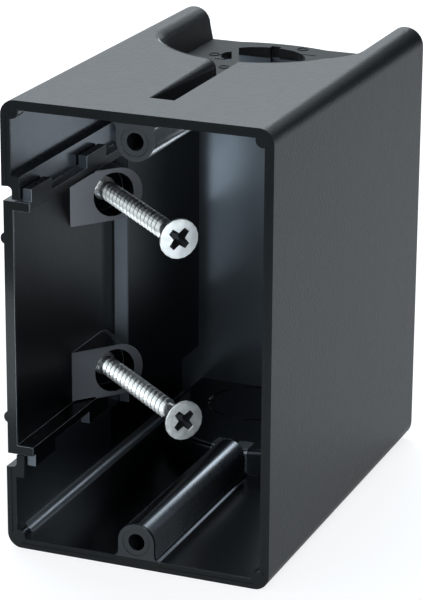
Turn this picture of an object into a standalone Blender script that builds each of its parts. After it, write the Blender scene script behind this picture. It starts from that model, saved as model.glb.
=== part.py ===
"""New-work outlet box, single gang, deep: a moulded housing, the stud-side panel hooked into it
and two angled mounting screws.

Dimensions are in millimetres. In the drawing frame x runs from the stud side to the right,
y from the front rim to the back and z up from the base. An empty carries the drawing frame, so
that the object stands in metres with its origin at the middle of its footprint, on the base.
"""

import math

import bmesh
import bpy
from mathutils import Matrix, Vector

MM = 0.001
FRAME = "outlet_box"
GAP = 0.3  # between pieces that touch on the real object
PAST = 2.0  # how far a cutting solid runs past the face that it opens

# Looks: name, colour, roughness, metallic
BLACK_PLASTIC = ("black_plastic", (0.012, 0.013, 0.014), 0.42, 0.0)
ZINC_STEEL = ("zinc_plated_steel", (0.52, 0.53, 0.52), 0.3, 1.0)

# Housing
WIDTH = 57.2
HEIGHT = 94.5
DEPTH = 90.5
WALL = 2.0
CORNER_FRONT = 3.1  # outer corner radius at the rim
CORNER_BACK = 4.0  # and at the back
CORNER_INSIDE = 1.5
RIM_LAND = 1.0  # outer band of the rim, proud of the inner one
RIM_STEP = 0.15
POST_RADIUS = 1.55
POST_INSET = 2.3
POST_LENGTH = 3.0
MID_Z = HEIGHT / 2

# Device bosses, top and bottom
DEVICE_INSET = 5.58  # of the device screw holes from each end, which puts them 83.34 apart
BOSS_RADIUS = 3.9
BOSS_FOOT = 1.25  # flare where the boss meets the wall
BOSS_HOLE = 1.8
BOSS_HOLE_DEPTH = 10.8
BOSS_RING = 3.0
BOSS_RING_DEPTH = 0.25
SLOT_WIDTH = 5.2
SLOT_SHIFT = 0.5  # of the coring slot, to the right of the boss
SLOT_FRONT = 12.2
SLOT_DEPTH = 6.0
SLOT_ROUND_FRONT = 0.4  # rounding of the slot's left edge at its front end
SLOT_ROUND_BACK = 2.2  # and where it runs into the recess

# Recesses at the back of the top and bottom, between two rounded rails
UPPER_RECESS_DEPTH = 7.0
UPPER_RECESS_LENGTH = 43.0
LOWER_RECESS_DEPTH = 6.2
LOWER_RECESS_LENGTH = 38.3
RECESS_DRAFT = 0.7  # by which a recess narrows towards its plate
RAIL_WIDTH = 7.7
RAIL_CREST = 0.05  # flat left between the rail's two roundings
RAIL_FADE = 48.0  # turn over which the rail's rounding fades into the front lip, in degrees
LIP_FILLET = 0.3
PLATE = 1.6
SHELL = 1.5
SHELL_ROUND = 1.0  # of the shell's edge, seen from inside the box
BULGE_PROUD = 1.5  # of the bulges under the recesses, from the flat back
BULGE_RADIUS = 34.0
BULGE_END = 28.0
BULGE_SHIFT = 1.0

BACK_PLANE = DEPTH - BULGE_PROUD
RECESS_RADIUS = WIDTH / 2 - RAIL_WIDTH
RAIL_FILLET = RAIL_WIDTH - CORNER_BACK - RAIL_CREST

# Cable entry in each plate, placed from the back and the middle, then from its hole's centre
HOLE_INSET = 12.5
HOLE_SHIFT = 4.6
HOLE_CENTRE = (WIDTH / 2 - HOLE_SHIFT, BACK_PLANE - HOLE_INSET)
HOLE_RADIUS = 10.2
BAR_ANGLE = 111.8  # of the clamp bar, from +x, in degrees
BAR_REACH = 4.2  # from the hole's centre to the bar
BAR_WIDTH = 1.5
SIDE_HOLE_LENGTH = 7.6
SIDE_HOLE_DEPTH = 2.4
SIDE_HOLE_SHIFT = 2.0
RIGHT_NOTCH = (7.3, 10.8, 7.0)  # left end, right end and y
LEFT_NOTCH = (-8.6, -5.4, -3.9)
BACK_NOTCH = (-1.2, 1.0, 11.6)
SLIT = 0.6
KNOCKOUT_SLITS = ((25, 100), (145, 45), (200, 50), (265, 105))  # start and sweep, in degrees

# Stud side of the housing: webs that the panel hooks over, placed from the nearer end
LEDGE = 15.5
GROOVE = 17.6
GROOVE_DEPTH = 2.2
GROOVE_CORNER = 1.0
WEB_END = 20.25
WEB = 1.6
END_WALL = 2.0
PANEL_DEPTH = 47.7
WEB_INNER = GROOVE_DEPTH + WEB

# Stud-side panel
PANEL_INSET = 0.35  # of its outer face from that of the housing
PANEL_WALL = 2.1
PANEL_TONGUE = 1.6  # laps over the end wall
FLANGE = 1.85
HOOK = 1.9
HOOK_REACH = 2.55
HOOK_SPANS = ((1.2, 10.5), (27.1, 36.6))
NUB_RADIUS = 1.25
NUB_PROUD = 0.4  # of the housing's outer face
NUB_INSET = 28.35  # from each end
NUB_LENGTH = 3.0
PANEL_FACE = PANEL_INSET + PANEL_WALL
FLANGE_NEAR = WEB_END + GAP
FLANGE_FAR = FLANGE_NEAR + FLANGE
INNER_PLANE = WEB_INNER + GAP + HOOK  # of the flanges, the hooks and the housing behind them

# Screw bosses on the panel
BOSS_ANGLE = 52.0  # of the boss face, from the front plane
BOSS_START = 26.35  # where the boss face leaves the panel
SCREW_INSET = 27.85  # of the screws, each from its end of the box
BORE_ALONG = 10.15
BORE_RADIUS = 4.7
BORE_DEPTH = 5.0
PILOT_RADIUS = 2.5
ROUND_ALONG = 11.25
ROUND_RADIUS = 5.6
FLANK_STEP = 0.45  # by which the flank towards the end of the box stays short of the round

# Screws, which hang a little loose, each at its own angle
SCREW_LENGTH = 43.0
UPPER_REACH = 33.2  # from the boss face to the head
LOWER_REACH = 32.6
HEAD_RADIUS = 4.15
HEAD_EDGE = 0.45
HEAD_CONE = 2.45
HEAD_BREAK = 0.1
NECK_RADIUS = 1.7
NECK_FLARE = 0.35
THREAD_ROOT = 1.4
THREAD_CREST = 2.1
THREAD_PITCH = 1.8
POINT_LENGTH = 4.5
CROSS_REACH = 2.45  # half length of the crossed recess at the head's face
CROSS_WIDTH = 0.62  # half width of its arms there
CROSS_HEART = 0.9  # half width of the square between them
CROSS_DEPTH = 2.1
CROSS_DRAFT = 0.1  # by which it opens past the face
# Name, side, boss face to head, angle from the front plane and turn about its own axis
SCREWS = (("upper", 1, UPPER_REACH, 47.0, 47.0), ("lower", -1, LOWER_REACH, 49.5, 41.0))


def clear_scene():
    for item in list(bpy.data.objects):
        bpy.data.objects.remove(item, do_unlink=True)


def make_frame():
    """The drawing frame: it puts the middle of the footprint, nubs included, at the origin."""
    frame = bpy.data.objects.new(FRAME, None)
    frame.location = Vector((NUB_PROUD - WIDTH, -DEPTH, 0)) / 2 * MM
    bpy.context.scene.collection.objects.link(frame)


def solid(name, points, faces, helper=False):
    """A mesh object in the drawing frame, with its faces turned outwards."""
    mesh = bpy.data.meshes.new(name)
    mesh.from_pydata([Vector(point) * MM for point in points], [], faces)
    shape = bmesh.new()
    shape.from_mesh(mesh)
    bmesh.ops.recalc_face_normals(shape, faces=shape.faces)
    shape.to_mesh(mesh)
    shape.free()
    item = bpy.data.objects.new(name, mesh)
    item.parent = bpy.data.objects[FRAME]
    bpy.context.scene.collection.objects.link(item)
    if helper:
        item.hide_render = True
        item.display_type = "WIRE"
    return item


def loft(name, rings, helper=False):
    """Closed rings of equal length joined in order, with flat ends."""
    count = len(rings[0])
    points = [point for ring in rings for point in ring]
    faces = [list(range(count)), list(range(len(points) - count, len(points)))]
    for start in range(0, len(points) - count, count):
        for i in range(count):
            j = (i + 1) % count
            faces.append([start + i, start + j, start + count + j, start + count + i])
    return solid(name, points, faces, helper)


def along_y(name, outline, front, back, helper=False):
    return loft(name, [[(x, y, z) for x, z in outline] for y in (front, back)], helper)


def along_z(name, outline, low, high, helper=False):
    return loft(name, [[(x, y, z) for x, y in outline] for z in (low, high)], helper)


def box(name, x, y, z, helper=True):
    corners = [(x[0], y[0]), (x[1], y[0]), (x[1], y[1]), (x[0], y[1])]
    return along_z(name, corners, z[0], z[1], helper)


def rod(name, start, axis, length, radius, sides=32, helper=True):
    """A cylinder from a point along a direction."""
    w = Vector(axis).normalized()
    u = w.orthogonal().normalized()
    v = w.cross(u)
    rings = []
    for reach in (0.0, length):
        centre = Vector(start) + w * reach
        turns = [2 * math.pi * i / sides for i in range(sides)]
        rings.append([tuple(centre + (u * math.cos(a) + v * math.sin(a)) * radius) for a in turns])
    return loft(name, rings, helper)


def combine(target, tool, operation):
    modifier = target.modifiers.new(tool.name, "BOOLEAN")
    modifier.operation = operation
    modifier.solver = "EXACT"
    modifier.object = tool


def add(target, tool):
    combine(target, tool, "UNION")


def cut(target, tool):
    combine(target, tool, "DIFFERENCE")


def finish(item, look):
    """Applies the piece's modifiers, shades its round faces smooth and gives it its material."""
    graph = bpy.context.evaluated_depsgraph_get()
    mesh = bpy.data.meshes.new_from_object(item.evaluated_get(graph))
    item.modifiers.clear()
    item.data = mesh
    mesh.shade_smooth()
    mesh.set_sharp_from_angle(angle=math.radians(32))
    name, colour, roughness, metallic = look
    material = bpy.data.materials.get(name) or bpy.data.materials.new(name)
    material.use_nodes = True
    shader = material.node_tree.nodes["Principled BSDF"]
    shader.inputs["Base Color"].default_value = (*colour, 1.0)
    shader.inputs["Roughness"].default_value = roughness
    shader.inputs["Metallic"].default_value = metallic
    mesh.materials.clear()
    mesh.materials.append(material)


def remove_helpers():
    for item in list(bpy.data.objects):
        if item.hide_render:
            bpy.data.objects.remove(item, do_unlink=True)


def arc(centre, radius, first, last, steps):
    """Points on an arc, angles in degrees from the first axis."""
    turns = [math.radians(first + (last - first) * i / steps) for i in range(steps + 1)]
    return [(centre[0] + radius * math.cos(a), centre[1] + radius * math.sin(a)) for a in turns]


def rounded_rectangle(low, high, radius, steps=8):
    x0, z0, x1, z1 = low[0] + radius, low[1] + radius, high[0] - radius, high[1] - radius
    corners = (((x1, z0), -90), ((x1, z1), 0), ((x0, z1), 90), ((x0, z0), 180))
    outline = []
    for centre, first in corners:
        outline += arc(centre, radius, first, first + 90, steps)
    return outline


def inset_rectangle(inset, radius, steps=5):
    """The front outline of the housing, moved in by an inset."""
    return rounded_rectangle((inset, inset), (WIDTH - inset, HEIGHT - inset), radius, steps)


def from_end(distance, top):
    """Height of a point that lies this far from the top or the bottom."""
    return HEIGHT - distance if top else distance


def span(near, far, top):
    return sorted((from_end(near, top), from_end(far, top)))


def end_name(name, top):
    return name + ("_top" if top else "_bottom")


def recess_depth(top):
    return UPPER_RECESS_DEPTH if top else LOWER_RECESS_DEPTH


def recess_front(top):
    return BACK_PLANE - (UPPER_RECESS_LENGTH if top else LOWER_RECESS_LENGTH)


def through_plate(top):
    return span(recess_depth(top) - PAST, recess_depth(top) + PLATE + PAST, top)


def recess_path(top, grow=0.0):
    """Plan of the recess, open to the back: (x, y, outward normal, share of the rail)."""
    cx, cy = WIDTH / 2, recess_front(top) + RECESS_RADIUS
    reach = RECESS_RADIUS + grow
    path = [(cx - reach, DEPTH + PAST, (-1.0, 0.0), 1.0)]
    steps = 40
    for i in range(steps + 1):
        turn = 180.0 * i / steps
        normal = (-math.cos(math.radians(turn)), -math.sin(math.radians(turn)))
        share = max(0.0, 1.0 - min(turn, 180.0 - turn) / RAIL_FADE)
        share = share * share * (3.0 - 2.0 * share)
        path.append((cx + reach * normal[0], cy + reach * normal[1], normal, share))
    return path + [(cx + reach, DEPTH + PAST, (1.0, 0.0), 1.0)]


def recess_tool(top):
    """The recess with its upper edge rounded: wide along the rails, tight along the front lip."""
    crest = -0.02  # just past the end face, so that no edge of the tool lies in it
    foot = (0, recess_depth(top), -RECESS_DRAFT)
    levels = [foot] + [(angle, None, 0.0) for angle in range(0, 91, 15)] + [(90, -PAST, 0.0)]
    rings = []
    for angle, fixed, lean in levels:
        turn = math.radians(angle)
        ring = []
        for x, y, normal, share in recess_path(top):
            fillet = LIP_FILLET + (RAIL_FILLET - LIP_FILLET) * share
            shift = fillet * (1.0 - math.cos(turn)) + lean
            depth = crest + fillet * (1.0 - math.sin(turn)) if fixed is None else fixed
            ring.append((x + normal[0] * shift, y + normal[1] * shift, from_end(depth, top)))
        rings.append(ring)
    return loft(end_name("recess", top), rings, helper=True)


def shell_tool(top):
    """The recess and the walls round it, with the edge that shows inside the box rounded."""
    under = recess_depth(top) + PLATE
    turns = [math.radians(angle) for angle in range(90, -1, -30)]
    levels = [(under - SHELL_ROUND * (1 - math.sin(a)), SHELL_ROUND * (1 - math.cos(a))) for a in turns]
    rings = []
    for depth, shift in levels + [(-PAST, 0.0)]:
        path = recess_path(top, SHELL - shift)
        rings.append([(x, y, from_end(depth, top)) for x, y, _, _ in path])
    return loft(end_name("shell", top), rings, helper=True)


def make_cavity():
    """The room inside the housing, as one solid."""
    outline = inset_rectangle(WALL, CORNER_INSIDE)
    cavity = along_y("cavity", outline, -PAST, BACK_PLANE - WALL, helper=True)
    for top in (True, False):
        cut(cavity, shell_tool(top))
        reach = (-2 * PAST, PANEL_DEPTH + END_WALL)
        cut(cavity, box(end_name("web", top), (-PAST, WEB_INNER), reach, span(LEDGE, WEB_END, top)))
    reach = (PANEL_DEPTH, DEPTH + PAST)
    cut(cavity, box("stud_wall", (-PAST, INNER_PLANE), reach, (LEDGE, HEIGHT - LEDGE)))
    return cavity


def device_boss(top):
    """Half-round rib under the end wall, with its feet flared into the wall."""
    cx = WIDTH / 2
    foot = BOSS_RADIUS + BOSS_FOOT
    left = [(cx - foot, WALL / 2), (cx - foot, WALL)]
    left += arc((cx - foot, WALL + BOSS_FOOT), BOSS_FOOT, -60, 0, 3)
    right = [(2 * cx - x, z) for x, z in reversed(left)]
    outline = left + arc((cx, DEVICE_INSET), BOSS_RADIUS, 180, 0, 20) + right
    outline = [(x, from_end(z, top)) for x, z in outline]
    return along_y(end_name("device_boss", top), outline, 0.0, recess_front(top) - SHELL / 2, True)


def slot_tool(top):
    """Coring slot: square to the right, its left edge rolled over ever more towards the recess."""
    left = WIDTH / 2 + SLOT_SHIFT - SLOT_WIDTH / 2
    right = left + SLOT_WIDTH
    stations = (
        (SLOT_FRONT, SLOT_ROUND_FRONT),
        (recess_front(top) + SLOT_WIDTH / 2, SLOT_ROUND_BACK),
    )
    rings = []
    for y, radius in stations:
        rolled = arc((left - radius, radius), radius, 0, -90, 6)
        outline = [(left - radius, -PAST), (right, -PAST), (right, SLOT_DEPTH), (left, SLOT_DEPTH)]
        rings.append([(x, y, from_end(depth, top)) for x, depth in outline + rolled])
    return loft(end_name("slot", top), rings, helper=True)


def cut_device_boss(housing, top):
    cut(housing, slot_tool(top))
    start = (WIDTH / 2, -PAST, from_end(DEVICE_INSET, top))
    for name, depth, radius in (
        ("device_hole", BOSS_HOLE_DEPTH, BOSS_HOLE),
        ("device_ring", BOSS_RING_DEPTH, BOSS_RING),
    ):
        cut(housing, rod(end_name(name, top), start, (0, 1, 0), depth + PAST, radius))


def by_the_bar(across, along):
    """A point placed from the cable hole's centre: towards the clamp bar, and along it."""
    turn = math.radians(BAR_ANGLE)
    x = HOLE_CENTRE[0] + along * math.cos(turn) - across * math.sin(turn)
    return x, HOLE_CENTRE[1] + along * math.sin(turn) + across * math.cos(turn)


def short_of_the_bar(points):
    """The part of a closed outline that the clamp bar leaves open."""
    (x0, y0), (x1, y1) = by_the_bar(BAR_REACH, 1.0), by_the_bar(BAR_REACH, -1.0)
    kept = []
    for i, p in enumerate(points):
        q = points[(i + 1) % len(points)]
        a, b = ((x1 - x0) * (y - y0) - (y1 - y0) * (x - x0) for x, y in (p, q))
        if a >= 0:
            kept.append(p)
        if (a >= 0) != (b >= 0):
            t = a / (a - b)
            kept.append((p[0] + (q[0] - p[0]) * t, p[1] + (q[1] - p[1]) * t))
    return kept


def cut_open_entry(housing):
    """Top: an open hole with an oblique clamp bar, a D-shaped hole beside it and three notches."""
    depths = through_plate(True)
    ring = arc(HOLE_CENTRE, HOLE_RADIUS, 0, 354, 59)
    cut(housing, along_z("cable_hole", short_of_the_bar(ring), *depths, helper=True))
    side = []
    for across, along in arc((0.0, 0.0), 1.0, -90, 90, 14):
        across = BAR_REACH + BAR_WIDTH + SIDE_HOLE_DEPTH * across
        side.append(by_the_bar(across, SIDE_HOLE_SHIFT + SIDE_HOLE_LENGTH / 2 * along))
    cut(housing, along_z("side_hole", side, *depths, helper=True))
    for name, (left, right, y) in (("right_notch", RIGHT_NOTCH), ("left_notch", LEFT_NOTCH)):
        x, y = (HOLE_CENTRE[0] + left, HOLE_CENTRE[0] + right), HOLE_CENTRE[1] + y
        cut(housing, box(name, x, (y - SLIT / 2, y + SLIT / 2), depths))
    left, right, back = BACK_NOTCH
    x, y = (HOLE_CENTRE[0] + left, HOLE_CENTRE[0] + right), HOLE_CENTRE[1]
    cut(housing, box("back_notch", x, (y + HOLE_RADIUS - SLIT, y + back), depths))


def cut_knockout(housing):
    """Bottom: the disc is still held in by the short webs between its slits."""
    depths = through_plate(False)
    for i, (first, sweep) in enumerate(KNOCKOUT_SLITS):
        outer = arc(HOLE_CENTRE, HOLE_RADIUS + SLIT / 2, first, first + sweep, 16)
        inner = arc(HOLE_CENTRE, HOLE_RADIUS - SLIT / 2, first + sweep, first, 16)
        cut(housing, along_z(f"knockout_slit_{i}", outer + inner, *depths, helper=True))


def bulge(top):
    """The back swells out under the recess, in one shallow arc."""
    sweep = math.degrees(math.acos(1 - (BULGE_PROUD + WALL / 2) / BULGE_RADIUS))
    centre = (HOLE_CENTRE[0] + BULGE_SHIFT, DEPTH - BULGE_RADIUS)
    outline = arc(centre, BULGE_RADIUS, 90 - sweep, 90 + sweep, 22)
    depths = span(recess_depth(top), BULGE_END, top)
    return along_z(end_name("bulge", top), outline, *depths, helper=True)


def cut_stud_side(housing):
    """The seat of the panel, then the shallow outside pocket behind it."""
    heights = (GROOVE, HEIGHT - GROOVE)
    seat = rounded_rectangle((-PAST, GROOVE), (GROOVE_DEPTH, HEIGHT - GROOVE), GROOVE_CORNER)
    cut(housing, along_y("seat", seat, -PAST, PANEL_DEPTH, True))
    end = PANEL_DEPTH + END_WALL
    relief = (-PAST, PANEL_FACE + GAP)
    cut(housing, box("end_wall_relief", relief, (PANEL_DEPTH - END_WALL / 2, end), heights))
    cut(housing, box("back_pocket", (-PAST, INNER_PLANE - WALL), (end, DEPTH + PAST), heights))


def make_housing():
    rings = []
    for y, radius in ((0.0, CORNER_FRONT), (BACK_PLANE, CORNER_BACK)):
        rings.append([(x, y, z) for x, z in inset_rectangle(0.0, radius, 8)])
    housing = loft("housing", rings)
    for top in (True, False):
        add(housing, bulge(top))
    cut(housing, make_cavity())
    step = inset_rectangle(RIM_LAND, CORNER_FRONT - RIM_LAND)
    cut(housing, along_y("rim_step", step, -PAST, RIM_STEP, True))
    for top in (True, False):
        add(housing, device_boss(top))
        for side, x in (("left", POST_INSET), ("right", WIDTH - POST_INSET)):
            start = (x, 0.0, from_end(POST_INSET, top))
            name = end_name("post_" + side, top)
            add(housing, rod(name, start, (0, 1, 0), POST_LENGTH, POST_RADIUS, 28))
    for top in (True, False):
        cut(housing, recess_tool(top))
        cut_device_boss(housing, top)
    cut_open_entry(housing)
    cut_knockout(housing)
    cut_stud_side(housing)
    return housing


def boss_frame(z):
    """Start of the boss face, its run towards the back and its normal, towards the room."""
    turn = math.radians(BOSS_ANGLE)
    run = Vector((math.cos(turn), math.sin(turn), 0))
    normal = Vector((math.sin(turn), -math.cos(turn), 0))
    return Vector((PANEL_FACE, BOSS_START, z)), run, normal


def screw_stations():
    """Name, height, reach, axis from tip to head, and turn of each screw."""
    for name, side, reach, angle, roll in SCREWS:
        turn = math.radians(angle)
        axis = Vector((math.sin(turn), -math.cos(turn), 0))
        yield name, from_end(SCREW_INSET, side > 0), reach, axis, roll


def screw_boss(name, z):
    """A round-ended block whose face is square to the screw, trimmed where it meets the panel."""
    start, run, normal = boss_frame(z)
    outwards = 1 if z > MID_Z else -1
    flank = ROUND_RADIUS - FLANK_STEP
    outline = [(-ROUND_RADIUS, -ROUND_RADIUS)]
    outline += arc((ROUND_ALONG, 0), ROUND_RADIUS, -90, 90, 20)
    outline.append((ROUND_ALONG - ROUND_RADIUS, ROUND_RADIUS))
    outline += [(ROUND_ALONG - ROUND_RADIUS, flank), (-ROUND_RADIUS, flank)]
    to_outside = (PANEL_FACE + (ROUND_ALONG + ROUND_RADIUS) * run.x) / normal.x
    rings = []
    for back in (0.0, to_outside):
        ring = [start + run * t + Vector((0, 0, outwards * h)) - normal * back for t, h in outline]
        rings.append([tuple(p) for p in ring])
    block = loft(name, rings, helper=True)
    inside = (PANEL_INSET + PANEL_WALL / 2, WIDTH)
    room = box(name + "_room", inside, (0.0, PANEL_DEPTH - GAP), (0.0, HEIGHT))
    combine(block, room, "INTERSECT")
    return block


def make_panel():
    heights = (FLANGE_NEAR, HEIGHT - FLANGE_NEAR)
    depths = (0.0, PANEL_DEPTH + PANEL_TONGUE)
    panel = box("stud_side_panel", (PANEL_INSET, PANEL_FACE), depths, heights, helper=False)
    for top in (True, False):
        depths, heights = (0.0, PANEL_DEPTH - GAP), span(FLANGE_NEAR, FLANGE_FAR, top)
        add(panel, box(end_name("flange", top), (PANEL_INSET, INNER_PLANE), depths, heights))
        for i, depths in enumerate(HOOK_SPANS):
            heights = span(FLANGE_NEAR - HOOK_REACH, FLANGE_FAR, top)
            hook = (WEB_INNER + GAP, INNER_PLANE)
            add(panel, box(end_name(f"hook_{i}", top), hook, depths, heights))
    for name, z, _, axis, _ in screw_stations():
        add(panel, screw_boss(name + "_boss", z))
        start, run, normal = boss_frame(z)
        centre = start + run * BORE_ALONG
        bore = (centre + normal * PAST, -normal, BORE_DEPTH + PAST, BORE_RADIUS, 40)
        cut(panel, rod(name + "_bore", *bore))
        through = (centre.x + PILOT_RADIUS) / axis.x + 2 * PAST
        cut(panel, rod(name + "_pilot", centre + axis * PAST, -axis, through, PILOT_RADIUS, 28))
    for top in (True, False):
        start = (NUB_RADIUS - NUB_PROUD, 0.0, from_end(NUB_INSET, top))
        add(panel, rod(end_name("nub", top), start, (0, 1, 0), NUB_LENGTH, NUB_RADIUS, 24))
    return panel


def thread_rows(turns, sides):
    """Rows of (share of a turn, reach, radius) along a helix, four rows to a turn of thread."""
    profile = ((0.0, THREAD_ROOT), (0.32, THREAD_CREST), (0.46, THREAD_CREST), (0.78, THREAD_ROOT))
    rows = []
    for k in range(4 * turns + 4):
        turn, step = divmod(k, 4)
        share, full = profile[step]
        row = []
        for j in range(sides):
            along = turn + share + j / sides
            radius = THREAD_ROOT + (full - THREAD_ROOT) * min(1.0, 0.45 + 0.3 * along)
            row.append((j / sides, POINT_LENGTH + THREAD_PITCH * along, radius))
        rows.append(row)
    return rows


def screw_mesh():
    """Points and faces of a screw on its own +z axis, tip at the origin: gimlet point, right-hand
    thread, short neck and flat head on a cone."""
    sides = 18
    neck_end = SCREW_LENGTH - HEAD_CONE - HEAD_EDGE
    turns = int((neck_end - POINT_LENGTH) / THREAD_PITCH) - 2
    rows = thread_rows(turns, sides)
    count = 4 * turns
    points, faces = [], []

    def place(share, reach, radius):
        a = 2 * math.pi * share
        points.append((radius * math.cos(a), radius * math.sin(a), reach))
        return len(points) - 1

    def ring(reach, radius):
        return [place(j / sides, reach, radius) for j in range(sides)]

    def bridge(a, b):
        for j in range(sides):
            k = (j + 1) % sides
            faces.append([a[j], a[k], b[k], b[j]])

    index = {}
    for k in range(count + 4):
        for j in range(sides if k < count else 1):
            index[k, j] = place(*rows[k][j])

    def thread(k, j):
        return index[k, j] if j < sides else index[k + 4, 0]

    for k in range(count - 1):
        for j in range(sides):
            faces.append([thread(k, j), thread(k, j + 1), thread(k + 1, j + 1), thread(k + 1, j)])

    run_out = 0.9 * THREAD_ROOT  # thinner than the root, so that the thread's end faces stay simple
    start = ring(POINT_LENGTH * 0.89, run_out)
    middle = ring(POINT_LENGTH * 0.45, THREAD_ROOT * 0.62)
    bridge(middle, start)
    tip = place(0, 0, 0)
    for j in range(sides):
        faces.append([tip, middle[(j + 1) % sides], middle[j]])
        faces.append([start[j], start[(j + 1) % sides], thread(0, j + 1), thread(0, j)])
    faces.append([start[0]] + [thread(k, 0) for k in range(5)])

    thread_end = rows[count][0][1] + THREAD_PITCH * 1.1
    last = ring(thread_end, run_out)
    for j in range(sides):
        after = last[(j + 1) % sides]
        faces.append([thread(count - 1, j), thread(count - 1, j + 1), after, last[j]])
    faces.append([last[0]] + [thread(count - 1 + k, 0) for k in range(4, -1, -1)])

    for reach, radius in (
        (thread_end + THREAD_PITCH * 0.2, NECK_RADIUS),
        (neck_end, NECK_RADIUS),
        (neck_end + 1.4 * NECK_FLARE, NECK_RADIUS + NECK_FLARE),
        (SCREW_LENGTH - HEAD_EDGE, HEAD_RADIUS),
        (SCREW_LENGTH - HEAD_BREAK, HEAD_RADIUS),
        (SCREW_LENGTH, HEAD_RADIUS - HEAD_BREAK),
    ):
        after = ring(reach, radius)
        bridge(last, after)
        last = after
    faces.append(last)
    return points, faces


def make_screw(name, tip, axis, roll):
    """A screw set along its axis and turned about it, with a crossed recess in its head."""
    screw = solid(name, *screw_mesh())
    across = axis.cross((0, 0, 1)).normalized()
    turned = Matrix((across, axis.cross(across), axis)).transposed()
    screw.location = tip * MM
    screw.rotation_euler = (turned @ Matrix.Rotation(math.radians(roll), 3, "Z")).to_euler()
    rings = []
    for height, grow in ((HEAD_EDGE, 1 + CROSS_DRAFT), (0.0, 1.0), (-CROSS_DEPTH, 0.42)):
        a, b, heart = CROSS_REACH * grow, CROSS_WIDTH * grow, CROSS_HEART * grow
        ring = []
        for c, s in ((1, 0), (0, 1), (-1, 0), (0, -1)):
            arm = ((a, -b), (a, b), (heart, heart))
            ring += [(x * c - y * s, x * s + y * c) for x, y in arm]
        rings.append([(x, y, SCREW_LENGTH + height) for x, y in ring])
    recess = loft(name + "_recess", rings, helper=True)
    recess.parent = screw
    cut(screw, recess)
    return screw


def make_screws():
    screws = []
    for name, z, reach, axis, roll in screw_stations():
        start, run, _ = boss_frame(z)
        tip = start + run * BORE_ALONG + axis * (reach - SCREW_LENGTH)
        screws.append(make_screw(name + "_mounting_screw", tip, axis, roll))
    return screws


clear_scene()
make_frame()
for piece in (make_housing(), make_panel()):
    finish(piece, BLACK_PLASTIC)
for piece in make_screws():
    finish(piece, ZINC_STEEL)
remove_helpers()
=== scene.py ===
"""Looks of the new-work outlet box: moulded black plastic with zinc-plated screws, on a pale floor.

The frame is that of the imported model: x to the right, y to the back, z up. Places on the object
are in millimetres. The camera, the lamps and the cards are placed in metres.
"""

import math

import bmesh
import bpy
from mathutils import Matrix, Vector


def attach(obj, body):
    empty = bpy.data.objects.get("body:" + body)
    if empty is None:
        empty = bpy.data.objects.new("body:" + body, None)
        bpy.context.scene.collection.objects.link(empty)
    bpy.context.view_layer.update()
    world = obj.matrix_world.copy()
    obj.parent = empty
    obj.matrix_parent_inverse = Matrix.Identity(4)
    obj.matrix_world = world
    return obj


MM = 0.001
WHITE = (1.0, 1.0, 1.0)

TO_RIGHT = (1.0, 0.0, 0.0)
TO_FRONT = (0.0, -1.0, 0.0)
TO_BACK = (0.0, 1.0, 0.0)
UP = (0.0, 0.0, 1.0)

# Camera, fitted to the photograph: angles in degrees, lens and sensor in millimetres
CAMERA_AT = (0.2072, -0.5132, 0.2327)
CAMERA_YAW = 22.196
CAMERA_PITCH = 18.941
CAMERA_ROLL = 0.352
CAMERA_LENS = 166.7
CAMERA_SENSOR = 36.0
CAMERA_NEAR = 0.01

# Room inside the housing, as lowest and highest corners, and what is taken out of it again
ROOM = ((-26.5, -44.6, 1.9), (26.9, 43.0, 92.6))
RECESS_RADIUS = 21.6
UPPER_RECESS = ((0.2, 21.65), (85.0, 96.0))  # middle of its round end, then its heights
LOWER_RECESS = ((0.2, 26.35), (-1.0, 7.0))
UPPER_SLOT = ((-2.05, -33.2, 88.4), (3.4, 6.0, 96.0))
LOWER_SLOT = ((-2.05, -33.2, -1.0), (3.4, 9.0, 6.1))
POCKET = ((-29.0, 2.6, 15.0), (-24.4, 46.0, 79.5))  # outside, behind the stud-side panel

# Boxes that hold faces with a colour of their own: the device faces a finish, the rest painted
# highlights
UPPER_DEVICE_FACE = ((-5.0, -46.0, 84.2), (5.4, -44.0, 92.4))
LOWER_DEVICE_FACE = ((-5.0, -46.0, 2.1), (5.4, -44.0, 10.3))
LOWER_RIB = ((-4.0, -44.4, 1.9), (4.4, 9.0, 9.2))  # device boss behind its face
LOWER_RISER = ((8.0, 3.0, 0.0), (27.0, 9.0, 7.9))  # step up to the lower recess, right of the boss
LEFT_FILLET = ((-26.6, -41.0, 1.8), (-24.6, 43.0, 3.8))  # along the foot of the stud side
STRIP = ((-27.5, 0.5, 18.0), (-22.65, 4.5, 76.0))  # front-facing step behind the panel
SLOT_LIP = ((2.6, -33.5, 94.0), (3.7, 1.0, 94.6))  # right edge of the upper slot
EDGE_ROOM = ((-26.75, -45.4, 1.7), (27.1, 43.2, 92.8))  # sharp edges in it have the inside's look

# Other bounds of those faces
RIM_BACK = -44.7
BACK_HALF = 1.5  # y past which the inside counts as its back half
HOOKS_END = -15.0  # x short of which the panel's hooks lie
MIDDLE_HEIGHT = 47.0
LOWER_HOLE = (0.2, 5.58)  # x and z of the lower device hole
LOWER_HOLE_CLEAR = 2.4  # a little more than its radius
BOSS_FACING = (0.788, -0.616, 0.0)
BOSS_OUT = (-10.2, -7.4)  # range of the boss faces along that direction
LIP_WIDTH = 0.4
LIP_HEIGHTS = (94.0, 94.6)
SLOT_SPAN = (-6.0, 2.6)  # x where the slot and its rolled left edge break the recess's lip
SQUARE_ON = 0.995  # least cosine at which a face counts as facing a direction
LEVEL_ON = 0.9995  # and at which the top counts as flat
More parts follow.
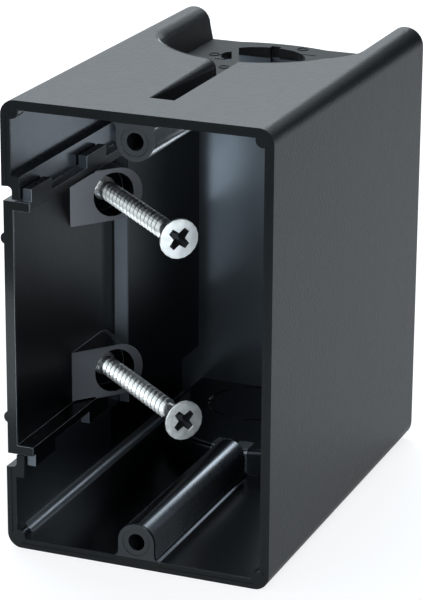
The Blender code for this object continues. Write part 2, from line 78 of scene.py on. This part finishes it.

# Finishes of the plastic, and colours that paint light or shade on parts of it: the two colours that
# each varies between, roughness, metallic share.
# The polished ones have a metallic share, so that they mirror the room as the photograph shows.
FINISHES_AND_PAINTED_LIGHT = {
    "outside": ((0.0040, 0.0058, 0.0066), (0.0070, 0.0094, 0.0102), 0.34, 0.0),
    "rim": ((0.0050, 0.0068, 0.0072), (0.0085, 0.0108, 0.0112), 0.30, 0.0),
    # painted shade: the upper recess darker than the rest of the outside
    "recess": ((0.0024, 0.0034, 0.0040), (0.0044, 0.0056, 0.0062), 0.62, 0.0),
    "inside": ((0.0370, 0.0430, 0.0510), (0.0480, 0.0550, 0.0640), 0.21, 0.9),
    # painted shade: the inside of the stud-side panel and the stud side of the back half darker than
    # the rest of the inside
    "panel": ((0.0030, 0.0042, 0.0050), (0.0050, 0.0066, 0.0074), 0.44, 1.0),
    # painted shade: upward faces in the lower half of the inside, its floor, darker
    "bottom": ((0.0060, 0.0080, 0.0090), (0.0100, 0.0120, 0.0135), 0.24, 1.0),
    # painted sheen: upward faces of the inside, above its middle, lighter
    "ledge_painted_sheen": ((0.1300, 0.1440, 0.1700), (0.1700, 0.1880, 0.2200), 0.28, 0.9),
    # painted reflection: the back wall and the fronts of the panel's hooks lighter than the inside
    "back": ((0.1500, 0.1740, 0.1960), (0.1800, 0.2060, 0.2320), 0.30, 0.9),
    # painted light: the faces of the screw bosses lighter grey than the plastic, the upper one lit and
    # the lower one a dimmer copy
    "upper_boss_painted_light": ((0.1320, 0.1330, 0.1440), (0.1420, 0.1440, 0.1550), 0.60, 0.0),
    "lower_boss_painted_dimmer": ((0.0600, 0.0630, 0.0700), (0.0660, 0.0690, 0.0770), 0.60, 0.0),
    "device_face": ((0.0300, 0.0330, 0.0360), (0.0390, 0.0430, 0.0460), 0.46, 0.0),
    # painted highlights: the riser, the strip, the rib, the fillet and the lip lighter than the
    # plastic round them
    "riser_painted_highlight": ((0.3800, 0.4100, 0.4500), (0.4800, 0.5100, 0.5500), 0.40, 0.9),
    "strip_painted_highlight": ((0.2600, 0.2900, 0.3200), (0.3100, 0.3450, 0.3800), 0.45, 0.9),
    "rib_painted_highlight": ((0.2300, 0.2460, 0.2640), (0.2700, 0.2880, 0.3080), 0.28, 0.9),
    "fillet_painted_highlight": ((0.2300, 0.2480, 0.2660), (0.2900, 0.3080, 0.3300), 0.34, 0.9),
    "lip": ((0.4200, 0.4500, 0.4800), (0.5600, 0.5900, 0.6200), 0.30, 0.9),
    # painted highlight on the sharp edges inside the box
    "edge": ((0.1600, 0.1700, 0.1900), (0.4000, 0.4200, 0.4500), 0.34, 0.7),
}
PLASTIC_SPECULAR = 0.28

# Texture of the plastic: noise as its scale per metre, detail and roughness, and relief in metres
CLOUD = (160.0, 3.0, 0.5)  # of the colour
GLOSS_CLOUD = (420.0, 3.0, 0.5)
GLOSS_SPREAD = 0.06
WAVES = (60.0, 1.0, 0.5)
WAVE_HEIGHT = 0.05 * MM
GRAIN = (1700.0, 2.0, 0.5)
GRAIN_HEIGHT = 0.075 * MM
GRAIN_INSIDE = 0.12  # share of the grain that is left on the polished inside
# noise of the edges' random tone and of the painted highlight on the inside ones
EDGE_TONE_AND_SHEEN = (500.0, 4.0, 0.6)

# Rounding of the sharp edges
WELD = 0.002 * MM
FLAT_ANGLE = 0.6  # degrees within which facets join into one face
EDGE_ROUND = 0.14 * MM
EDGE_STEPS = 2
EDGE_ANGLE = 38.0  # degrees from which an edge is sharp
FACE_WEIGHT = 80

# Screws: middle of the head's face, and angle of the screw from the front plane in degrees
HEADS = (
    ("upper_mounting_screw", (4.580, -33.544, 66.65), 47.0),
    ("lower_mounting_screw", (5.088, -32.074, 27.85), 49.5),
)
PLATING = ((0.74, 0.76, 0.74), (1.00, 1.00, 0.98))
PLATING_ROUGHNESS = (0.26, 0.46)
MOTTLE = (900.0, 4.0, 0.6)
SCRATCHES = (2600.0, 3.0, 0.5)
SCRATCH_HEIGHT = 0.02 * MM
# painted shade in the cross of the screw head
CROSS_PAINTED_SHADE = (0.035, 0.036, 0.038)
CROSS_ROUGHNESS = 0.6
CROSS_DEPTHS = (0.1, 2.3)  # under the head's face
CROSS_RADIUS = 2.55

# Ring marks of the mould on the upper plate
MARKS = ((-14.3, 30.7), (-8.2, 21.0), (1.6, 42.6))
PLATE_TOP = 87.5
MARK_OUTER = 1.28
MARK_INNER = 0.96
MARK_SIDE = 0.12
MARK_HEIGHT = 0.17
MARK_BREAK = 0.06
MARK_STEPS = 40

# Pale floor and room: what they send to the camera, into reflections and on the object
GROUND_SIZE = 8.0
GROUND_GREY = (0.5, 0.5, 0.5)
GROUND_SEEN = 0.73
GROUND_MIRRORED = 0.28
STUDIO_TINT = (0.90, 0.98, 1.03)
STUDIO_LIGHT = 0.45
STUDIO_SEEN = 1.0

# Lamps: place, what they point at, size and power in watts
LAMP_COLOUR = (0.84, 0.93, 1.0)
LAMPS = (
    ("overhead", (-0.30, 0.42, 0.60), (0.0, 0.0, 0.05), (0.70, 0.50), 3.4),
    ("front_right", (0.46, -0.44, 0.10), (0.0, 0.0, 0.06), (0.40, 0.22), 3.6),
)

# Small lamps that show only in reflections: place, direction, size and power
GLINTS = (
    ("glint_back", (0.0100, 0.040, 0.0700), TO_FRONT, (0.032, 0.030), 0.0044),
    ("glint_low", (0.0045, 0.040, 0.0400), TO_FRONT, (0.013, 0.022), 0.0033),
    ("glint_front", (-0.0320, -0.060, 0.0370), TO_BACK, (0.056, 0.026), 0.0095),
    ("glint_side_high", (-0.0221, 0.026, 0.0650), TO_RIGHT, (0.020, 0.032), 0.0020),
    ("glint_side_mid", (-0.0221, 0.026, 0.0450), TO_RIGHT, (0.020, 0.032), 0.0007),
    ("glint_side_low", (-0.0221, 0.026, 0.0250), TO_RIGHT, (0.020, 0.032), 0.00008),
)

# Dark cards that show only in reflections: place, what they face and size
FLAG_COLOUR = (0.01, 0.01, 0.01)
FLAGS = (
    ("flag_right", (0.100, 0.160, 0.132), (0.0288, 0.0, 0.132), (0.22, 0.09)),
    ("flag_front", (-0.140, -0.460, 0.001), (-0.140, -0.460, 1.0), (0.40, 0.50)),
)


def look_node(tree, kind, **settings):
    """A shader node with its properties and unlinked inputs set by name."""
    node = tree.nodes.new(kind)
    for name, value in settings.items():
        if hasattr(node, name):
            setattr(node, name, value)
        else:
            node.inputs[name.replace("_", " ")].default_value = value
    return node


def feed(tree, socket, value):
    """Sets an input to a number or a colour, or links it to another node's output."""
    if isinstance(value, tuple):
        socket.default_value = (*value, 1.0)
    elif isinstance(value, (int, float)):
        socket.default_value = value
    else:
        tree.links.new(value, socket)


def maths(tree, operation, *values):
    """The result of a Math node on outputs or numbers."""
    node = look_node(tree, "ShaderNodeMath", operation=operation)
    for socket, value in zip(node.inputs, values):
        feed(tree, socket, value)
    return node.outputs[0]


def product(tree, first, *others):
    """All of them multiplied: for shares, 1 where each of them is 1."""
    for other in others:
        first = maths(tree, "MULTIPLY", first, other)
    return first


def squared_length(tree, first, second):
    return maths(tree, "ADD", product(tree, first, first), product(tree, second, second))


def within(tree, value, low, high):
    """1 where a value is in a range."""
    return maths(tree, "COMPARE", value, (low + high) / 2, (high - low) / 2)


def dot_with(tree, vector, direction):
    node = look_node(tree, "ShaderNodeVectorMath", operation="DOT_PRODUCT")
    node.inputs[1].default_value = direction
    tree.links.new(vector, node.inputs[0])
    return node.outputs["Value"]


def blend(tree, share, first, second):
    """A number that runs from first to second as share runs from 0 to 1."""
    node = look_node(tree, "ShaderNodeMix", data_type="FLOAT")
    for name, value in (("Factor", share), ("A", first), ("B", second)):
        feed(tree, node.inputs[name], value)
    return node.outputs["Result"]


def colours(tree, share, first, second):
    """A colour that runs from first to second as share runs from 0 to 1."""
    node = look_node(tree, "ShaderNodeMix", data_type="RGBA")
    sockets = {socket.identifier: socket for socket in node.inputs}
    for name, value in (("Factor_Float", share), ("A_Color", first), ("B_Color", second)):
        feed(tree, sockets[name], value)
    return [socket for socket in node.outputs if socket.identifier == "Result_Color"][0]


def noise(tree, scale, detail, rough):
    where = look_node(tree, "ShaderNodeTexCoord")
    cloud = look_node(tree, "ShaderNodeTexNoise", Scale=scale, Detail=detail, Roughness=rough)
    tree.links.new(where.outputs["Object"], cloud.inputs["Vector"])
    return cloud.outputs["Fac"]


def bump(tree, shader, heights):
    """Bumps laid over each other: pairs of a height output and a distance in metres."""
    normal = None
    for height, distance in heights:
        node = look_node(tree, "ShaderNodeBump", Strength=1.0, Distance=distance)
        tree.links.new(height, node.inputs["Height"])
        if normal:
            tree.links.new(normal, node.inputs["Normal"])
        normal = node.outputs["Normal"]
    tree.links.new(normal, shader.inputs["Normal"])


def new_material(name, roughness, metallic=0.0):
    material = bpy.data.materials.new(name)
    material.use_nodes = True
    shader = material.node_tree.nodes["Principled BSDF"]
    shader.inputs["Roughness"].default_value = roughness
    shader.inputs["Metallic"].default_value = metallic
    return material, material.node_tree, shader


def place(tree):
    """Position on the object, as three outputs in millimetres."""
    where = look_node(tree, "ShaderNodeTexCoord")
    larger = look_node(tree, "ShaderNodeVectorMath", operation="SCALE", Scale=1.0 / MM)
    split = look_node(tree, "ShaderNodeSeparateXYZ")
    tree.links.new(where.outputs["Object"], larger.inputs[0])
    tree.links.new(larger.outputs[0], split.inputs[0])
    return split.outputs


def box_share(tree, axes, low, high):
    """1 in a box."""
    return product(tree, *[within(tree, axes[i], low[i], high[i]) for i in range(3)])


def recess_share(tree, axes, centre, heights, radius=RECESS_RADIUS):
    """1 in a recess: half round at its front, straight from there to the back."""
    across = maths(tree, "SUBTRACT", axes[0], centre[0])
    along = maths(tree, "MINIMUM", maths(tree, "SUBTRACT", axes[1], centre[1]), 0.0)
    near = maths(tree, "LESS_THAN", squared_length(tree, across, along), radius * radius)
    return product(tree, near, within(tree, axes[2], *heights))


def facing(tree, direction, least=SQUARE_ON):
    """1 where the surface itself faces this way."""
    shape = look_node(tree, "ShaderNodeNewGeometry")
    cosine = dot_with(tree, shape.outputs["True Normal"], direction)
    return maths(tree, "GREATER_THAN", cosine, least)


def inside_share(tree, axes):
    """1 on the polished faces inside the housing."""
    share = box_share(tree, axes, *ROOM)
    taken = [recess_share(tree, axes, *recess) for recess in (UPPER_RECESS, LOWER_RECESS)]
    taken += [box_share(tree, axes, *room) for room in (UPPER_SLOT, LOWER_SLOT, POCKET)]
    for part in taken:
        share = maths(tree, "SUBTRACT", share, part)
    return maths(tree, "MAXIMUM", share, 0.0)


def lip_share(tree, axes):
    """1 on the small rounding where the top turns down into the upper recess and its slot."""
    centre = UPPER_RECESS[0]
    wide = recess_share(tree, axes, centre, LIP_HEIGHTS, RECESS_RADIUS + LIP_WIDTH)
    narrow = recess_share(tree, axes, centre, LIP_HEIGHTS, RECESS_RADIUS - LIP_WIDTH)
    round_end = maths(tree, "LESS_THAN", axes[1], centre[1])
    beside_slot = maths(tree, "SUBTRACT", 1.0, within(tree, axes[0], *SLOT_SPAN))
    ring = product(tree, maths(tree, "SUBTRACT", wide, narrow), round_end, beside_slot)
    turned = maths(tree, "SUBTRACT", 1.0, facing(tree, UP, LEVEL_ON))
    return product(tree, maths(tree, "MAXIMUM", ring, box_share(tree, axes, *SLOT_LIP)), turned)


def rib_share(tree, axes):
    """1 on the lower device boss behind its face, but 0 in its hole."""
    across = maths(tree, "SUBTRACT", axes[0], LOWER_HOLE[0])
    up = maths(tree, "SUBTRACT", axes[2], LOWER_HOLE[1])
    outside_hole = maths(tree, "GREATER_THAN", squared_length(tree, across, up), LOWER_HOLE_CLEAR ** 2)
    return product(tree, box_share(tree, axes, *LOWER_RIB), outside_hole)


def boss_share(tree, axes):
    """1 on the faces of the two screw bosses, but 0 at the bottom of their bores."""
    along_x, along_y, _ = BOSS_FACING
    out = maths(tree, "ADD", product(tree, axes[0], along_x), product(tree, axes[1], along_y))
    return product(tree, facing(tree, BOSS_FACING), within(tree, out, *BOSS_OUT))


def finish_and_painted_light_layers(tree, axes, inside, polish_or_painted_shade):
    """Where each finish or painted light or shade lies, from the lowest layer to the highest: pairs of
    a share and a name.
    """
    front = facing(tree, TO_FRONT)
    level = product(tree, inside, facing(tree, UP))
    low = maths(tree, "LESS_THAN", axes[2], MIDDLE_HEIGHT)
    behind = product(tree, inside, maths(tree, "GREATER_THAN", axes[1], BACK_HALF))
    hooks = product(tree, inside, maths(tree, "LESS_THAN", axes[0], HOOKS_END))
    boss = product(tree, inside, boss_share(tree, axes))
    upper_face = product(tree, front, box_share(tree, axes, *UPPER_DEVICE_FACE))
    lower_face = product(tree, front, box_share(tree, axes, *LOWER_DEVICE_FACE))
    return (
        (product(tree, front, maths(tree, "LESS_THAN", axes[1], RIM_BACK)), "rim"),
        (maths(tree, "ADD", upper_face, lower_face), "device_face"),
        # painted shade on the upper recess
        (recess_share(tree, axes, *UPPER_RECESS), "recess"),
        (inside, polish_or_painted_shade),
        # painted sheen on upward faces of the inside
        (level, "ledge_painted_sheen"),
        # painted shade on the floor of the inside
        (product(tree, level, low), "bottom"),
        # painted shade on the stud side in the back half
        (product(tree, behind, facing(tree, TO_RIGHT)), "panel"),
        # painted reflection on the back wall and the fronts of the hooks
        (product(tree, maths(tree, "MAXIMUM", behind, hooks), front), "back"),
        # painted highlights on the lip, the fillet, the rib and the strip
        (lip_share(tree, axes), "lip"),
        (product(tree, inside, box_share(tree, axes, *LEFT_FILLET)), "fillet_painted_highlight"),
        (product(tree, inside, rib_share(tree, axes)), "rib_painted_highlight"),
        (product(tree, front, box_share(tree, axes, *STRIP)), "strip_painted_highlight"),
        # painted light on the boss faces, dimmer on the lower one
        (boss, "upper_boss_painted_light"),
        (product(tree, boss, low), "lower_boss_painted_dimmer"),
        # painted highlight on the riser
        (product(tree, inside, front, box_share(tree, axes, *LOWER_RISER)), "riser_painted_highlight"),
    )


def plastic_material(name, polish_or_painted_shade):
    """Black thermoplastic: finely eroded outside, polished inside, matt on the faces of the bosses,
    with painted highlights, reflections and shade on parts of it.
    """
    dark, light, rough, metal = FINISHES_AND_PAINTED_LIGHT["outside"]
    material, tree, shader = new_material(name, rough)
    shader.inputs["Specular IOR Level"].default_value = PLASTIC_SPECULAR
    axes = place(tree)
    inside = inside_share(tree, axes)
    cloud = noise(tree, *CLOUD)
    tint = colours(tree, cloud, dark, light)
    for share, finish_or_painted_light in finish_and_painted_light_layers(tree, axes, inside, polish_or_painted_shade):
        dark, light, roughness, metallic = FINISHES_AND_PAINTED_LIGHT[finish_or_painted_light]
        tint = colours(tree, share, tint, colours(tree, cloud, dark, light))
        rough = blend(tree, share, rough, roughness)
        metal = blend(tree, share, metal, metallic)
    smoothest = maths(tree, "SUBTRACT", rough, GLOSS_SPREAD / 2)
    rough = maths(tree, "MULTIPLY_ADD", noise(tree, *GLOSS_CLOUD), GLOSS_SPREAD, smoothest)
    tree.links.new(tint, shader.inputs["Base Color"])
    tree.links.new(rough, shader.inputs["Roughness"])
    tree.links.new(metal, shader.inputs["Metallic"])
    grain = product(tree, noise(tree, *GRAIN), blend(tree, inside, 1.0, GRAIN_INSIDE))
    bump(tree, shader, ((noise(tree, *WAVES), WAVE_HEIGHT), (grain, GRAIN_HEIGHT)))
    return material


def edge_material():
    """Sharp edges of the plastic: inside the box they are painted brighter than the faces beside them,
    as a painted highlight.
    """
    plain_dark, plain_light, _, plain_metallic = FINISHES_AND_PAINTED_LIGHT["outside"]
    dark, light, roughness, metallic = FINISHES_AND_PAINTED_LIGHT["edge"]
    material, tree, shader = new_material("moulded_edge", roughness)
    shader.inputs["Specular IOR Level"].default_value = PLASTIC_SPECULAR
    inside = box_share(tree, place(tree), *EDGE_ROOM)
    tone_and_sheen = noise(tree, *EDGE_TONE_AND_SHEEN)
    plain = colours(tree, tone_and_sheen, plain_dark, plain_light)
    tint = colours(tree, inside, plain, colours(tree, tone_and_sheen, dark, light))
    tree.links.new(tint, shader.inputs["Base Color"])
    tree.links.new(blend(tree, inside, plain_metallic, metallic), shader.inputs["Metallic"])
    return material


def cross_share(tree, face, turn):
    """1 in the crossed recess of a screw: under its head's face and near its axis."""
    where = look_node(tree, "ShaderNodeTexCoord")
    moved = look_node(tree, "ShaderNodeVectorMath", operation="SUBTRACT")
    moved.inputs[1].default_value = Vector(face) * MM
    tree.links.new(where.outputs["Object"], moved.inputs[0])
    c, s = math.cos(math.radians(turn)), math.sin(math.radians(turn))
    depth = dot_with(tree, moved.outputs[0], (-s / MM, c / MM, 0.0))
    aside = dot_with(tree, moved.outputs[0], (c / MM, s / MM, 0.0))
    up = dot_with(tree, moved.outputs[0], (0.0, 0.0, 1.0 / MM))
    near = maths(tree, "LESS_THAN", squared_length(tree, aside, up), CROSS_RADIUS ** 2)
    return product(tree, within(tree, depth, *CROSS_DEPTHS), near)


def steel_material(screw, face, turn):
    """Zinc plating: bright, slightly mottled, with fine scratches in its gloss, and a rougher cross
    painted dark as shade.
    """
    material, tree, shader = new_material("zinc_plated_" + screw, PLATING_ROUGHNESS[0], 1.0)
    mottle = noise(tree, *MOTTLE)
    cross = cross_share(tree, face, turn)
    rough = blend(tree, cross, blend(tree, mottle, *PLATING_ROUGHNESS), CROSS_ROUGHNESS)
    tint = colours(tree, cross, colours(tree, mottle, *PLATING), CROSS_PAINTED_SHADE)
    tree.links.new(rough, shader.inputs["Roughness"])
    tree.links.new(tint, shader.inputs["Base Color"])
    bump(tree, shader, ((noise(tree, *SCRATCHES), SCRATCH_HEIGHT),))
    return material


def give_materials(item, *materials):
    item.data.materials.clear()
    for material in materials:
        item.data.materials.append(material)


def round_edges(item):
    """Rounds the sharp edges, which take the second material, and shades the faces evenly."""
    weld = item.modifiers.new("weld", "WELD")
    weld.merge_threshold = WELD
    flat = item.modifiers.new("flat", "DECIMATE")
    flat.decimate_type = "DISSOLVE"
    flat.angle_limit = math.radians(FLAT_ANGLE)
    rounding = item.modifiers.new("edges", "BEVEL")
    rounding.width = EDGE_ROUND
    rounding.segments = EDGE_STEPS
    rounding.limit_method = "ANGLE"
    rounding.angle_limit = math.radians(EDGE_ANGLE)
    rounding.material = 1
    item.data.shade_smooth()
    even = item.modifiers.new("even_shading", "WEIGHTED_NORMAL")
    even.mode = "FACE_AREA"
    even.weight = FACE_WEIGHT
    even.keep_sharp = False


def ring_mark(number, centre, plastic):
    """A small raised ring, as a mould leaves it on the plate."""
    profile = (
        (MARK_OUTER, 0.0),
        (MARK_OUTER, MARK_SIDE),
        (MARK_OUTER - MARK_BREAK, MARK_HEIGHT),
        (MARK_INNER + MARK_BREAK, MARK_HEIGHT),
        (MARK_INNER, MARK_SIDE),
        (MARK_INNER, 0.0),
    )
    shape = bmesh.new()
    sections = []
    for step in range(MARK_STEPS):
        turn = 2 * math.pi * step / MARK_STEPS
        section = []
        for radius, height in profile:
            x = centre[0] + radius * math.cos(turn)
            y = centre[1] + radius * math.sin(turn)
            section.append(shape.verts.new(Vector((x, y, PLATE_TOP + height)) * MM))
        sections.append(section)
    for one, following in zip(sections, sections[1:] + sections[:1]):
        for i in range(len(profile) - 1):
            shape.faces.new((one[i], following[i], following[i + 1], one[i + 1]))
    mesh = bpy.data.meshes.new(f"ring_mark_{number}")
    shape.to_mesh(mesh)
    shape.free()
    mesh.materials.append(plastic)
    mesh.shade_smooth()
    item = bpy.data.objects.new(mesh.name, mesh)
    bpy.context.scene.collection.objects.link(item)
    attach(item, "root")


def point_at(item, at, aim, axis):
    """Moves an item to a place and turns this axis of it towards what it aims at."""
    item.location = at
    item.rotation_euler = (Vector(aim) - Vector(at)).to_track_quat(axis, "Y").to_euler()


def make_floor():
    """A pale floor that looks white to the camera but keeps the object's shadow."""
    bpy.ops.mesh.primitive_plane_add(size=GROUND_SIZE)
    floor = bpy.context.object
    floor.name = "floor"
    material = bpy.data.materials.new("pale_floor")
    material.use_nodes = True
    tree = material.node_tree
    tree.nodes.clear()
    matt = look_node(tree, "ShaderNodeBsdfDiffuse", Color=(*GROUND_GREY, 1.0))
    glow = look_node(tree, "ShaderNodeEmission", Color=(*WHITE, 1.0))
    rays = look_node(tree, "ShaderNodeLightPath").outputs
    mirrored = maths(tree, "MAXIMUM", rays["Is Glossy Ray"], rays["Is Transmission Ray"])
    strength = maths(tree, "MULTIPLY", rays["Is Camera Ray"], GROUND_SEEN)
    strength = maths(tree, "MULTIPLY_ADD", mirrored, GROUND_MIRRORED, strength)
    tree.links.new(strength, glow.inputs["Strength"])
    both = look_node(tree, "ShaderNodeAddShader")
    out = look_node(tree, "ShaderNodeOutputMaterial")
    tree.links.new(matt.outputs[0], both.inputs[0])
    tree.links.new(glow.outputs[0], both.inputs[1])
    tree.links.new(both.outputs[0], out.inputs["Surface"])
    floor.data.materials.append(material)


def make_world():
    """A pale room: white where it is seen, bright where it is mirrored, a soft light elsewhere."""
    world = bpy.data.worlds.new("studio")
    bpy.context.scene.world = world
    world.use_nodes = True
    tree = world.node_tree
    tree.nodes.clear()
    rays = look_node(tree, "ShaderNodeLightPath").outputs
    seen = maths(tree, "MAXIMUM", rays["Is Camera Ray"], rays["Is Glossy Ray"])
    seen = maths(tree, "MAXIMUM", seen, rays["Is Transmission Ray"])
    back = look_node(tree, "ShaderNodeBackground")
    out = look_node(tree, "ShaderNodeOutputWorld")
    tint = colours(tree, rays["Is Camera Ray"], STUDIO_TINT, WHITE)
    tree.links.new(tint, back.inputs["Color"])
    tree.links.new(blend(tree, seen, STUDIO_LIGHT, STUDIO_SEEN), back.inputs["Strength"])
    tree.links.new(back.outputs[0], out.inputs["Surface"])


def add_light(name, at, aim, size, power):
    """A rectangular lamp."""
    lamp = bpy.data.lights.new(name, "AREA")
    lamp.shape = "RECTANGLE"
    lamp.size, lamp.size_y = size
    lamp.energy = power
    lamp.color = LAMP_COLOUR
    item = bpy.data.objects.new(name, lamp)
    point_at(item, at, aim, "-Z")
    bpy.context.scene.collection.objects.link(item)
    return item


def make_lights():
    for lamp in LAMPS:
        add_light(*lamp)
    for name, at, direction, size, power in GLINTS:
        item = add_light(name, at, Vector(at) + Vector(direction), size, power)
        item.visible_camera = item.visible_diffuse = item.visible_transmission = False


def add_flag(name, at, aim, size):
    """A dark card that only shows in reflections, as it is used to keep black gloss black."""
    bpy.ops.mesh.primitive_plane_add(size=1.0)
    card = bpy.context.object
    card.name = name
    card.scale = (*size, 1.0)
    point_at(card, at, aim, "Z")
    material, _, shader = new_material("dark_card", 1.0)
    shader.inputs["Base Color"].default_value = (*FLAG_COLOUR, 1.0)
    card.data.materials.append(material)
    card.visible_camera = card.visible_diffuse = False
    card.visible_shadow = card.visible_transmission = False


def make_camera():
    camera = bpy.data.cameras.new("camera")
    camera.lens = CAMERA_LENS
    camera.sensor_width = CAMERA_SENSOR
    camera.clip_start = CAMERA_NEAR
    item = bpy.data.objects.new("camera", camera)
    turned = Matrix.Rotation(math.radians(CAMERA_YAW), 4, "Z")
    turned @= Matrix.Rotation(math.radians(90 - CAMERA_PITCH), 4, "X")
    turned @= Matrix.Rotation(math.radians(CAMERA_ROLL), 4, "Z")
    item.matrix_world = Matrix.Translation(CAMERA_AT) @ turned
    bpy.context.scene.collection.objects.link(item)
    bpy.context.scene.camera = item


def make_studio():
    bpy.context.scene.view_settings.view_transform = "Standard"
    make_camera()
    make_world()
    make_lights()
    for flag in FLAGS:
        add_flag(*flag)
    make_floor()


def dress_box(nodes):
    """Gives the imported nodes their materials, and adds the marks of the mould."""
    plastic = plastic_material("moulded_plastic", "inside")
    edges = edge_material()
    give_materials(nodes["housing"], plastic, edges)
    # the panel's inside takes the darker colour of painted shade
    give_materials(nodes["stud_side_panel"], plastic_material("panel_plastic", "panel"), edges)
    for name in ("housing", "stud_side_panel"):
        round_edges(nodes[name])
    for number, centre in enumerate(MARKS):
        ring_mark(number, centre, plastic)
    for screw, face, turn in HEADS:
        give_materials(nodes[screw], steel_material(screw, face, turn))


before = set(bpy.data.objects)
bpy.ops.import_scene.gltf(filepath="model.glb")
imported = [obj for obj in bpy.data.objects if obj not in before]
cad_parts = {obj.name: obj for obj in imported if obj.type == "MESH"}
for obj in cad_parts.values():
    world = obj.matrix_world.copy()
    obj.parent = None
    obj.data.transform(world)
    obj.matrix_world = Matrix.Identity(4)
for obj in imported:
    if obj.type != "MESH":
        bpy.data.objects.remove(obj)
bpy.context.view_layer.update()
make_studio()
dress_box(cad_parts)
